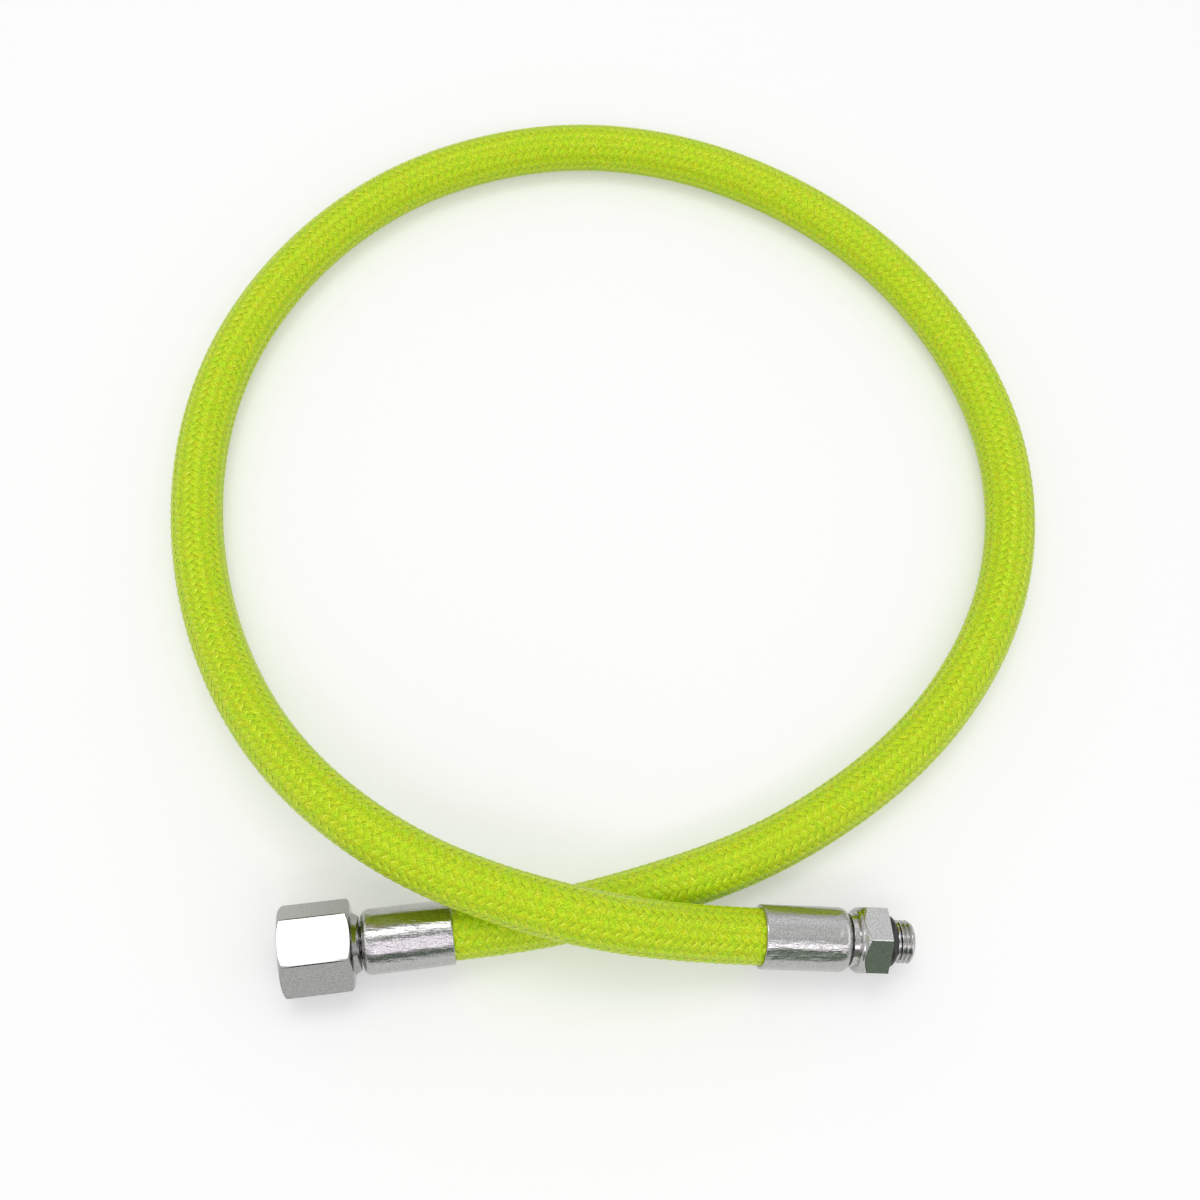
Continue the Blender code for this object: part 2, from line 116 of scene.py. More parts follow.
# Weave of the sleeve
STRANDS = 16  # each way round
STRAND_LEAD = 0.0344  # along the hose for one turn of a strand
STRAND_MIDDLE_RADIUS = 0.00594
STRAND_RISE = 0.00013  # of a strand over or under the middle
STRAND_CROWN = 0.00018  # of a strand's middle over its edges
STRAND_STEPS = 2  # for each crossing
STRAND_SIDES = 4  # across a strand
SLEEVE_INSET = 0.004  # how far the sleeve's strands go into a ferrule

CROSSING = STRAND_LEAD / (2 * STRANDS)
STRAND_ANGLE = math.atan(2 * math.pi * STRAND_MIDDLE_RADIUS / STRAND_LEAD)


def axis_of(heading, dip):
    return np.array(
        (math.cos(heading) * math.cos(dip), math.sin(heading) * math.cos(dip), -math.sin(dip))
    )


def fitting_matrix(mouth, heading, dip):
    """From a fitting's own frame, X along its axis from the mouth, to the part's frame."""
    turn = Matrix.Rotation(heading, 4, "Z") @ Matrix.Rotation(dip, 4, "Y")
    return Matrix.Translation(mouth) @ turn


SWIVEL_END = fitting_matrix(ROUTE[0], SWIVEL_HEADING, SWIVEL_DIP)
MALE_END = fitting_matrix(ROUTE[-1], MALE_HEADING, MALE_DIP)


# Camera, fitted to the photograph

CAMERA_LENS, CAMERA_SENSOR = 45, 36  # in millimetres
CAMERA_PLACE = (-0.0270, -0.1700, 0.3398)
CAMERA_RIGHT = (0.99740, 0.0, 0.07200)
CAMERA_UP = (-0.02879, 0.91660, 0.39878)


def add_camera():
    data = bpy.data.cameras.new("photo_camera")
    data.lens = CAMERA_LENS
    data.sensor_width = CAMERA_SENSOR
    data.clip_start = 0.01
    camera = bpy.data.objects.new("photo_camera", data)
    bpy.context.scene.collection.objects.link(camera)
    right = Vector(CAMERA_RIGHT).normalized()
    back = right.cross(Vector(CAMERA_UP)).normalized()
    turn = Matrix((right, back.cross(right), back)).transposed().to_4x4()
    camera.matrix_world = Matrix.Translation(CAMERA_PLACE) @ turn
    bpy.context.scene.camera = camera


add_camera()


# Node materials

# Yarn: its colours and hues, each at a value of the noise that picks between them
YARN_COLOURS = [
    (0.60, (0.320, 0.480, 0.002)),
    (0.76, (0.505, 0.720, 0.006)),
    (0.92, (0.700, 0.920, 0.024)),
]
YARN_HUES = [(0.30, (0.88, 1.0, 1.0)), (0.50, (1.0, 0.98, 1.0)), (0.70, (1.12, 0.93, 1.0))]
YARN_PAINTED_HIGHLIGHT = (0.84, 0.98, 0.13, 1)  # painted highlight of the glint lines and sparkles on the yarn
YARN_SHEEN = (0.85, 1.0, 0.28, 1)
YARN_SHADE = [(0.3, (0.30, 0.48, 0.004)), (0.7, (0.40, 0.61, 0.006))]
RIGHT_TINT, LEFT_TINT = (1.0, 1.0, 1.0), (0.97, 0.98, 0.9)
FIBRE_STRETCH = (5.0, 0.8, 1)  # across a strand and along it
GLINT_LINE_PLACE, GLINT_LINE_WIDTH = 0.70, 0.11  # of the painted highlight line, across a strand from -1 to 1
FLECKS, PATCHES, SPARKS, SHADE_GRAIN = 3300.0, 620.0, 1700.0, 1500.0  # to the metre

# Plating: noise to the metre, or along the part's X, Y and Z
PLATING_GRAIN, PLATING_PITS = 3800.0, 1900.0
PLATING_WAVES = (210, 760, 760)
PLATING_LINES = (170, 3200, 3200)

# Rubber
RUBBER_BLOOM, RUBBER_GRAIN = 900.0, 6000.0
RUBBER_COLOURS = [(0.35, (0.018, 0.019, 0.018)), (0.75, (0.040, 0.043, 0.040))]


def new_material(name):
    material = bpy.data.materials.new(name)
    material.use_nodes = True
    nodes = material.node_tree.nodes
    shader = nodes["Principled BSDF"]
    return material, nodes, material.node_tree.links, shader


def ramp(nodes, stops):
    node = nodes.new("ShaderNodeValToRGB")
    while len(node.color_ramp.elements) < len(stops):
        node.color_ramp.elements.new(1.0)
    for element, (place, colour) in zip(node.color_ramp.elements, stops):
        element.position = place
        element.color = (*colour, 1)
    return node


def value_range(nodes, links, source, low, high, from_low=0.0, from_high=1.0, smooth=False):
    """The source's range turned into the range from low to high, and cut off beyond it."""
    node = nodes.new("ShaderNodeMapRange")
    if smooth:
        node.interpolation_type = "SMOOTHSTEP"
    node.inputs["From Min"].default_value = from_low
    node.inputs["From Max"].default_value = from_high
    node.inputs["To Min"].default_value = low
    node.inputs["To Max"].default_value = high
    links.new(source, node.inputs["Value"])
    return node.outputs["Result"]


def noise(nodes, links, vector, scale, detail=3.0, roughness=0.5):
    node = nodes.new("ShaderNodeTexNoise")
    node.inputs["Scale"].default_value = scale
    node.inputs["Detail"].default_value = detail
    node.inputs["Roughness"].default_value = roughness
    links.new(vector, node.inputs["Vector"])
    return node.outputs["Fac"]


def scaled(nodes, links, vector, scale):
    node = nodes.new("ShaderNodeVectorMath")
    node.operation = "MULTIPLY"
    node.inputs[1].default_value = scale
    links.new(vector, node.inputs[0])
    return node.outputs["Vector"]


def bump(nodes, links, height, distance, strength=1.0, normal=None):
    node = nodes.new("ShaderNodeBump")
    node.inputs["Distance"].default_value = distance
    node.inputs["Strength"].default_value = strength
    links.new(height, node.inputs["Height"])
    if normal is not None:
        links.new(normal, node.inputs["Normal"])
    return node.outputs["Normal"]


def math_node(nodes, links, operation, *values):
    """A math node fed with sockets or numbers."""
    node = nodes.new("ShaderNodeMath")
    node.operation = operation
    for socket, value in zip(node.inputs, values):
        if isinstance(value, (int, float)):
            socket.default_value = value
        else:
            links.new(value, socket)
    return node.outputs["Value"]


def mixed(nodes, links, factor, first, second, blend="MIX"):
    """Two colours mixed; the factor and the second colour are sockets or fixed values."""
    node = nodes.new("ShaderNodeMix")
    node.data_type = "RGBA"
    node.blend_type = blend
    links.new(first, node.inputs[6])
    for socket, value in ((node.inputs["Factor"], factor), (node.inputs[7], second)):
        if isinstance(value, (float, tuple)):
            socket.default_value = value
        else:
            links.new(value, socket)
    return node.outputs[2]


def multiplied(nodes, links, first, second):
    """The product of two colours, or of a colour and a grey value."""
    return mixed(nodes, links, 1.0, first, second, "MULTIPLY")


def strand_material(name, tint):
    """Lime polyester yarn: filaments along a strand, fine flecks, painted highlight and shade on
    each stitch, and painted glint lines and sparkles.

    Its UVs are the place across the strand, from -1 to 1 and 4 more for each next strand, and the
    phase of the weave, where the strand is on top at each multiple of 4.
    """
    material, nodes, links, shader = new_material(name)
    uv = nodes.new("ShaderNodeUVMap")
    uv.uv_map = "strand"
    strand = uv.outputs["UV"]
    parts = nodes.new("ShaderNodeSeparateXYZ")
    links.new(strand, parts.inputs["Vector"])
    place = nodes.new("ShaderNodeTexCoord").outputs["Object"]
    filaments = noise(nodes, links, scaled(nodes, links, strand, FIBRE_STRETCH), 3.0)
    flecks = noise(nodes, links, place, FLECKS, 2.0, 0.7)
    patches = noise(nodes, links, place, PATCHES, 2.0)
    sparks = noise(nodes, links, place, SPARKS, 0.0)
    turn = math_node(nodes, links, "MULTIPLY", parts.outputs["Y"], math.pi / 2)
    crest = math_node(nodes, links, "COSINE", turn)
    across = math_node(nodes, links, "WRAP", parts.outputs["X"], 2.0, -2.0)

    fibres = math_node(nodes, links, "MULTIPLY_ADD", filaments, 0.55, flecks)
    stops = [(at, tuple(c * t for c, t in zip(colour, tint))) for at, colour in YARN_COLOURS]
    colour = ramp(nodes, stops)
    links.new(fibres, colour.inputs["Fac"])
    hue = ramp(nodes, YARN_HUES)
    hue.color_ramp.interpolation = "EASE"
    links.new(patches, hue.inputs["Fac"])
    tinted = multiplied(nodes, links, colour.outputs["Color"], hue.outputs["Color"])
    # Painted highlight and shade: each stitch lighter on its crest and darker where it goes under
    # the crossing strands
    stitch = value_range(nodes, links, crest, 0.84, 1.10, -0.4, 1.0)
    tinted = multiplied(nodes, links, tinted, stitch)

    # Painted highlight: a thin light line along one side of each stitch's crest, where it lies in a
    # patch, and painted sparkles
    line = math_node(nodes, links, "COMPARE", across, GLINT_LINE_PLACE, GLINT_LINE_WIDTH)
    on_crest = value_range(nodes, links, crest, 0.0, 1.0, 0.76, 0.97)
    in_patch = value_range(nodes, links, patches, 0.0, 1.0, 0.40, 0.55)
    line = math_node(nodes, links, "MULTIPLY", line, on_crest)
    line = math_node(nodes, links, "MULTIPLY", line, in_patch)
    # Painted sparkles: scattered glints in the painted highlight's colour
    painted_sparkle = value_range(nodes, links, sparks, 0.0, 0.8, 0.82, 0.87)
    lit = math_node(nodes, links, "MAXIMUM", line, painted_sparkle)
    links.new(mixed(nodes, links, lit, tinted, YARN_PAINTED_HIGHLIGHT), shader.inputs["Base Color"])

    links.new(value_range(nodes, links, filaments, 0.28, 0.44), shader.inputs["Roughness"])
    relief = bump(nodes, links, filaments, 0.00004, 0.9)
    links.new(bump(nodes, links, flecks, 0.00005, 0.9, relief), shader.inputs["Normal"])
    shader.inputs["Specular IOR Level"].default_value = 0.75
    shader.inputs["Specular Tint"].default_value = YARN_SHEEN
    return material


def core_material():
    """What shows between the strands: the same yarn in shade."""
    material, nodes, links, shader = new_material("sleeve_ground")
    place = nodes.new("ShaderNodeTexCoord").outputs["Object"]
    grain = noise(nodes, links, place, SHADE_GRAIN, 2.0)
    colour = ramp(nodes, YARN_SHADE)
    links.new(grain, colour.inputs["Fac"])
    links.new(colour.outputs["Color"], shader.inputs["Base Color"])
    links.new(bump(nodes, links, grain, 0.0001, 0.5), shader.inputs["Normal"])
    shader.inputs["Roughness"].default_value = 0.7
    return material


def chrome_material(name, level, waviness, grain_depth, roughness, streaks=0.0):
    """Bright plating: slow waves, fine lines along the axis, pits and a fine speckle.

    The piece's attribute "edge" paints light and shade along a hexagon's rounded edges: painted
    highlight towards -1, painted shade towards 1.
    """
    material, nodes, links, shader = new_material(name)
    place = nodes.new("ShaderNodeTexCoord").outputs["Object"]
    grain = noise(nodes, links, place, PLATING_GRAIN, 3.0, 0.75)
    waves = noise(nodes, links, scaled(nodes, links, place, PLATING_WAVES), 1.0, 2.0)
    lines = noise(nodes, links, scaled(nodes, links, place, PLATING_LINES), 1.0, 3.0, 0.7)
    pits = noise(nodes, links, place, PLATING_PITS, 1.0)
    dark = (level * 0.74, level * 0.76, level * 0.72)
    plain = (level, level, level * 0.98)
    light = (level * 1.26, level * 1.25, level * 1.25)
    colour = ramp(nodes, [(0.38, dark), (0.50, plain), (0.62, light)])
    links.new(grain, colour.inputs["Fac"])
    spots = value_range(nodes, links, pits, 0.45, 1.0, 0.19, 0.24)
    plated = multiplied(nodes, links, colour.outputs["Color"], spots)
    # Painted highlight and shade from the attribute "edge": up to 1.9 times lighter towards -1,
    # down to a tenth towards 1
    edge = nodes.new("ShaderNodeAttribute")
    edge.attribute_name = "edge"
    painted_edge_light = value_range(nodes, links, edge.outputs["Fac"], 1.9, 0.1, -1.0, 1.0)
    links.new(multiplied(nodes, links, plated, painted_edge_light), shader.inputs["Base Color"])
    shader.inputs["Metallic"].default_value = 1.0
    brushed = value_range(nodes, links, lines, roughness * 0.6, roughness * 1.6, 0.3, 0.7)
    links.new(brushed, shader.inputs["Roughness"])
    slow = bump(nodes, links, waves, waviness)
    along = bump(nodes, links, lines, streaks, 1.0, slow)
    links.new(bump(nodes, links, grain, grain_depth, 1.0, along), shader.inputs["Normal"])
    return material


def rubber_material(name):
    """Black seal rubber, greased here and there, with a trace of bloom."""
    material, nodes, links, shader = new_material(name)
    place = nodes.new("ShaderNodeTexCoord").outputs["Object"]
    bloom = noise(nodes, links, place, RUBBER_BLOOM, 3.0)
    grain = noise(nodes, links, place, RUBBER_GRAIN, 2.0)
    colour = ramp(nodes, RUBBER_COLOURS)
    links.new(bloom, colour.inputs["Fac"])
    links.new(colour.outputs["Color"], shader.inputs["Base Color"])
    links.new(value_range(nodes, links, bloom, 0.35, 0.6, 0.3, 0.7), shader.inputs["Roughness"])
    links.new(bump(nodes, links, grain, 0.00002, 0.6), shader.inputs["Normal"])
    return material


# Mesh tools

ARC_STEPS = 3  # of a rounded corner
ARC_REACH = 0.45  # share of a side that one corner's arc may take
BLEND = 0.00002  # width in which one surface of a turned piece passes into the next
CREST_WIDTH, FLANK_SLOPE = 1.25, 2.9  # of a thread's tooth, in a profile from 0 to 1
THREAD_FADE = 0.4  # length of a thread's first and last bit, in pitches


def add_piece(name, points, faces, material, body, uvs=None):
    """One piece of the model in the part's frame, riding on a body."""
    mesh = bpy.data.meshes.new(name)
    mesh.from_pydata([tuple(p) for p in points], [], faces)
    if uvs is not None:
        layer = mesh.uv_layers.new(name="strand")
        index = np.empty(len(mesh.loops), np.int32)
        mesh.loops.foreach_get("vertex_index", index)
        layer.data.foreach_set("uv", uvs[index].astype(np.float32).ravel())
    mesh.materials.append(material)
    mesh.shade_smooth()
    obj = bpy.data.objects.new(name, mesh)
    bpy.context.scene.collection.objects.link(obj)
    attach(obj, body)
    return obj


def fix_normals(obj):
    bm = bmesh.new()
    bm.from_mesh(obj.data)
    bmesh.ops.recalc_face_normals(bm, faces=bm.faces)
    bm.to_mesh(obj.data)
    bm.free()


def keep_flats_flat(obj):
    """Shades large faces flat and the small roundings between them smooth."""
    weighted = obj.modifiers.new("weighted_normals", "WEIGHTED_NORMAL")
    weighted.mode = "FACE_AREA"
    weighted.weight = 50
    weighted.keep_sharp = False


def grid_faces(rows, columns, close_rows=False, close_columns=False):
    """Quads of a grid of points stored row by row."""
    row_count = rows if close_rows else rows - 1
    column_count = columns if close_columns else columns - 1
    r = np.arange(row_count)[:, None]
    c = np.arange(column_count)[None, :]
    down = (r + 1) % rows
    across = (c + 1) % columns
    quads = np.stack(
        [
            r * columns + c,
            r * columns + across,
            down * columns + across,
            down * columns + c,
        ],
        axis=-1,
    )
    return quads.reshape(-1, 4)


def rounded(outline, radius):
    """A closed outline with an arc in place of each corner."""
    points = [np.array(p, float) for p in outline]
    result = []
    for i, corner in enumerate(points):
        before = points[i - 1] - corner
        after = points[(i + 1) % len(points)] - corner
        len_before, len_after = np.linalg.norm(before), np.linalg.norm(after)
        before, after = before / len_before, after / len_after
        half = math.acos(float(np.clip(before @ after, -1, 1))) / 2
        if half > math.radians(87):  # nearly straight
            result.append(tuple(corner))
            continue
        run = min(radius / math.tan(half), ARC_REACH * len_before, ARC_REACH * len_after)
        start, end = corner + before * run, corner + after * run
        size = run * math.tan(half)
        middle = (before + after) / np.linalg.norm(before + after)
        centre = corner + middle * size / math.sin(half)
        a, b = start - centre, end - centre
        cosine = a @ b / (np.linalg.norm(a) * np.linalg.norm(b))
        sweep = math.acos(float(np.clip(cosine, -1, 1)))
        for k in range(ARC_STEPS + 1):
            t = k / ARC_STEPS
            arc = math.sin((1 - t) * sweep) * a + math.sin(t * sweep) * b
            result.append(tuple(centre + arc / math.sin(sweep)))
    return result


def even_angles(count):
    return np.arange(count) * 2 * math.pi / count


def hexagon_angles(flats, turn, corner_radius, on_face, on_corner):
    """Angles for a ring round a hexagon, close together on its rounded corners."""
    edge = corner_edge_angle(flats, corner_radius)
    angles = []
    for k in range(6):
        middle = turn + math.radians(30 + 60 * k)
        angles += list(middle + np.linspace(-edge, edge, on_face))
        rest = np.linspace(edge, math.radians(60) - edge, on_corner + 2)[1:-1]
        angles += list(middle + rest)
    return np.array(angles)


def corner_edge_angle(flats, corner_radius):
    apothem = flats / 2
    return math.atan((apothem - corner_radius) * math.tan(math.radians(30)) / apothem)


def hexagon_radius(angles, flats, turn, corner_radius):
    """Distance from the axis to a hexagon with rounded corners, in each direction."""
    apothem = flats / 2
    edge = corner_edge_angle(flats, corner_radius)
    off = np.abs((angles - turn) % math.radians(60) - math.radians(30))
    centre = (apothem - corner_radius) / math.cos(math.radians(30))
    psi = math.radians(30) - off
    inside = np.maximum(corner_radius**2 - (centre * np.sin(psi)) ** 2, 0)
    corner = centre * np.cos(psi) + np.sqrt(inside)
    return np.where(off > edge, corner, apothem / np.cos(off))


def soft_min(a, b):
    """The smaller of two lengths, with the change from one to the other rounded off."""
    low = np.minimum(a, b)
    return low - BLEND * np.log(np.exp(-(a - low) / BLEND) + np.exp(-(b - low) / BLEND))


def hexagon_edges(angles, flats, turn, corner_radius):
    """1 in the directions of a hexagon's rounded edges, else 0."""
    off = np.abs((angles - turn) % math.radians(60) - math.radians(30))
    return (off > corner_edge_angle(flats, corner_radius) + 1e-6).astype(float)


def turned_piece(name, outline, angles, place, material, body, reshape=None, painted_edge_lines=None):
    """The outline of (station, radius) rows spun about the axis; reshape may change the radii.

    The last argument gives the attribute "edge" by station and angle: painted highlight below 0 and
    painted shade above 0 on the plating.
    """
    outline = np.array(outline)
    stations = np.repeat(outline[:, :1], len(angles), axis=1)
    radii = np.repeat(outline[:, 1:], len(angles), axis=1)
    theta = np.repeat(angles[None, :], len(outline), axis=0)
    if reshape is not None:
        stations, radii = reshape(stations, radii, theta)
    local = np.stack([stations, radii * np.cos(theta), radii * np.sin(theta)], axis=-1)
    matrix = np.array(place)
    points = local.reshape(-1, 3) @ matrix[:3, :3].T + matrix[:3, 3]
    faces = grid_faces(len(outline), len(angles), True, True)
    obj = add_piece(name, points, faces.tolist(), material, body)
    fix_normals(obj)
    # Painted highlight and shade along the plating's edges, stored as the attribute "edge"
    if painted_edge_lines is not None:
        layer = obj.data.attributes.new("edge", "FLOAT", "POINT")
        layer.data.foreach_set("value", painted_edge_lines(stations, theta).ravel().astype(np.float32))
    return obj


def thread_depth(stations, theta, start, end, pitch, depth):
    """How far a right-hand thread with flat crests cuts in, fading out towards both ends."""
    phase = ((stations - start) / pitch - theta / (2 * math.pi)) % 1.0
    tooth = np.clip(CREST_WIDTH - FLANK_SLOPE * np.abs(phase - 0.5), 0, 1)
    fade_in = np.clip((stations - start) / (THREAD_FADE * pitch), 0, 1)
    fade_out = np.clip((end - stations) / (THREAD_FADE * pitch), 0, 1)
    return depth * (1 - tooth) * fade_in * fade_out


# The hose's middle line

LINE_STEPS = 3000
END_STEPS = 60  # inside each ferrule


def smooth_curve(points, start_direction, end_direction):
    """A cubic spline through the points with the given end directions, and its parameter range."""
    points = np.array(points)
    gaps = np.linalg.norm(np.diff(points, axis=0), axis=1)
    knots = np.concatenate([[0], np.cumsum(gaps)])
    count = len(points)
    matrix = np.eye(count)
    wanted = np.zeros((count, 3))
    wanted[0] = start_direction
    wanted[-1] = end_direction
    slopes = np.diff(points, axis=0) / gaps[:, None]
    for i in range(1, count - 1):
        before, after = gaps[i - 1], gaps[i]
        matrix[i, i - 1 : i + 2] = after, 2 * (before + after), before
        wanted[i] = 3 * (after * slopes[i - 1] + before * slopes[i])
    tangents = np.linalg.solve(matrix, wanted)

    def at(parameters):
        i = np.clip(np.searchsorted(knots, parameters) - 1, 0, count - 2)
        t = ((parameters - knots[i]) / gaps[i])[:, None]
        gap = gaps[i][:, None]
        return (
            (1 + 2 * t) * (1 - t) ** 2 * points[i]
            + t * (1 - t) ** 2 * gap * tangents[i]
            + t**2 * (3 - 2 * t) * points[i + 1]
            - t**2 * (1 - t) * gap * tangents[i + 1]
        )

    return at, knots[-1]


def hose_line():
    """Closely spaced points on the hose's middle line and how far along it each one lies."""
    start_axis = -axis_of(SWIVEL_HEADING, SWIVEL_DIP)
    end_axis = axis_of(MALE_HEADING, MALE_DIP)
    at, length = smooth_curve(ROUTE, start_axis, end_axis)
    free = at(np.linspace(0, length, LINE_STEPS))
    steps = np.linspace(1, 0, END_STEPS, endpoint=False)[:, None] * HOSE_END
    before = np.array(ROUTE[0]) - steps * start_axis
    after = np.array(ROUTE[-1]) + steps[::-1] * end_axis
    line = np.vstack([before, free, after])
    along = np.concatenate([[0], np.cumsum(np.linalg.norm(np.diff(line, axis=0), axis=1))])
    return line, along


LINE, ALONG = hose_line()
LINE_LENGTH = float(ALONG[-1])
TANGENT = np.gradient(LINE, ALONG, axis=0)
TANGENT /= np.linalg.norm(TANGENT, axis=1)[:, None]
SIDE = np.cross(TANGENT, (0, 0, 1))
SIDE /= np.linalg.norm(SIDE, axis=1)[:, None]
UPWARD = np.cross(SIDE, TANGENT)


def on_line(table, s):
    return np.stack([np.interp(s, ALONG, table[:, k]) for k in range(3)], axis=-1)


def round_hose(s, theta, radius):
    """Points at the distance radius from the middle line, at the angle theta round it."""
    sideways = np.cos(theta)[..., None] * on_line(SIDE, s)
    upward = np.sin(theta)[..., None] * on_line(UPWARD, s)
    return on_line(LINE, s) + radius[..., None] * (sideways + upward)


def squeeze_at(s):
    """Share of its full radius that the sleeve keeps: less inside the ferrules."""
    pressed = 1 - HOSE_SQUEEZE / (HOSE_DIAMETER / 2)
    depth = np.maximum(HOSE_END - s, s - (LINE_LENGTH - HOSE_END))
    return 1 - (1 - pressed) * np.clip(depth / SQUEEZE_RUN, 0, 1) ** 2


# Woven sleeve


def add_sleeve_half(name, way, material):
    """All the strands that wind one way round the hose, two over and two under the others."""
    start = HOSE_END - SLEEVE_INSET
    run = LINE_LENGTH - 2 * start
    count = int(run / CROSSING * STRAND_STEPS)
    u = np.arange(count + 1) / STRAND_STEPS
    x = np.linspace(-1, 1, STRAND_SIDES + 1)[None, :]
    half_width = math.pi * STRAND_MIDDLE_RADIUS * math.cos(STRAND_ANGLE) / STRANDS
    crown = STRAND_CROWN * (1 - np.abs(x) ** 2.2)
    s = (start + u * CROSSING)[:, None] - way * math.sin(STRAND_ANGLE) * half_width * x
    points, uvs, faces = [], [], []
    for k in range(STRANDS):
        phase = u + way * (2 * k - 0.5)
        lift = np.clip(1.45 * way * np.cos(math.pi / 2 * phase), -1, 1)
        middle = 2 * math.pi * k / STRANDS + way * math.pi * u / STRANDS
        theta = middle[:, None] + math.cos(STRAND_ANGLE) * half_width * x / STRAND_MIDDLE_RADIUS
        radius = STRAND_MIDDLE_RADIUS + STRAND_RISE * lift[:, None] + crown
        points.append(round_hose(s, theta, radius * squeeze_at(s)).reshape(-1, 3))
        stitch = (phase if way > 0 else phase + 2)[:, None]
        uvs.append(np.stack(np.broadcast_arrays(x + 4 * k, stitch), axis=-1).reshape(-1, 2))
        faces.append(grid_faces(len(u), STRAND_SIDES + 1) + k * s.size)
    return add_piece(
        name,
        np.concatenate(points),
        np.concatenate(faces).tolist(),
        material,
        "hose_assembly",
        np.concatenate(uvs),
    )


def add_core():
    """The layer under the strands, a plain tube from one stem's shoulder to the other's."""
    s, theta = np.meshgrid(np.linspace(0, LINE_LENGTH, 420), even_angles(24), indexing="ij")
    radius = (STRAND_MIDDLE_RADIUS - STRAND_RISE + 0.00002) * squeeze_at(s)
    points = round_hose(s, theta, radius).reshape(-1, 3)
    faces = grid_faces(*s.shape, False, True).tolist()
    ring = s.shape[1]
    faces.append(list(range(ring)))
    faces.append([len(points) - 1 - k for k in range(ring)])
    core = add_piece("hose_core", points, faces, core_material(), "hose_assembly")
    fix_normals(core)
    return core


# Fittings


def add_ferrule(name, place, material, replaced, marks_turn):
    """Crimped sleeve: die marks, a round lip at the mouth and a rolled-in base."""
    crimp_start, run_in = 0.0009, 0.0004
    crimp_end, run_out = FERRULE_LENGTH - 0.0025, 0.0007
    base_start = FERRULE_LENGTH - FERRULE_BASE_RUN
    base_radius = FERRULE_RADIUS - FERRULE_BASE_DROP
    outline = [(0.0, FERRULE_INNER_RADIUS + 0.00015)]
    outline += [
        (FERRULE_LIP * (1 - math.cos(a)), FERRULE_RADIUS - FERRULE_LIP * (1 - math.sin(a)))
        for a in np.linspace(0, math.pi / 2, 5)
    ]
    outline += [(s, FERRULE_RADIUS) for s in np.linspace(0.0005, base_start, 44)]
    outline += [
        (base_start + FERRULE_BASE_RUN * math.sin(a), base_radius + FERRULE_BASE_DROP * math.cos(a))
        for a in np.linspace(0.08, math.pi / 2, 10)
    ]
    outline += [(FERRULE_LENGTH, r) for r in np.linspace(base_radius - 0.0004, 0.0041, 4)]
    outline += [
        (FERRULE_LENGTH - 0.0001, FERRULE_HOLE_RADIUS),
        (FERRULE_BASE_INSIDE, FERRULE_HOLE_RADIUS),
        (FERRULE_BASE_INSIDE, FERRULE_INNER_RADIUS),
        (FERRULE_LIP, FERRULE_INNER_RADIUS),
    ]

    def press(stations, radii, theta):
        half_mark = math.pi / CRIMP_MARKS
        off = (theta - marks_turn + half_mark) % (2 * half_mark) - half_mark
        flat = (FERRULE_RADIUS - CRIMP_DEPTH) / np.cos(off)
        pressed = soft_min(np.full_like(off, FERRULE_RADIUS), flat) - FERRULE_RADIUS
        window = np.clip((stations - crimp_start) / run_in, 0, 1)
        window = window * np.clip((crimp_end - stations) / run_out, 0, 1)
        window = window * window * (3 - 2 * window)
        outside = radii > FERRULE_RADIUS - BLEND
        return stations, np.where(outside, radii + pressed * window, radii)

    ferrule = turned_piece(
        name, outline, even_angles(160), place, material, "hose_assembly", press
    )
    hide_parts(replaced)
    return ferrule


def barbed_tail():
    """Outline of a stem's tail inside the hose, from its tip to the crimp groove."""
    pitch = (SHOULDER_START - TAIL_START) / (TAIL_BARBS + 0.5)
    outline = [(TAIL_START, BORE_RADIUS + BORE_CHAMFER)]
    for k in range(TAIL_BARBS):
        start = TAIL_START + k * pitch
        outline += [
            (start, TAIL_ROOT_RADIUS),
            (start + 0.8 * pitch, TAIL_CREST_RADIUS),
            (start + 0.95 * pitch, TAIL_CREST_RADIUS),
        ]
    return outline + [
        (TAIL_START + TAIL_BARBS * pitch, TAIL_ROOT_RADIUS),
        (SHOULDER_START, TAIL_ROOT_RADIUS),
        (SHOULDER_START, SHOULDER_RADIUS),
        (SHOULDER_END, SHOULDER_RADIUS),
        (SHOULDER_END, CRIMP_GROOVE_RADIUS),
    ]


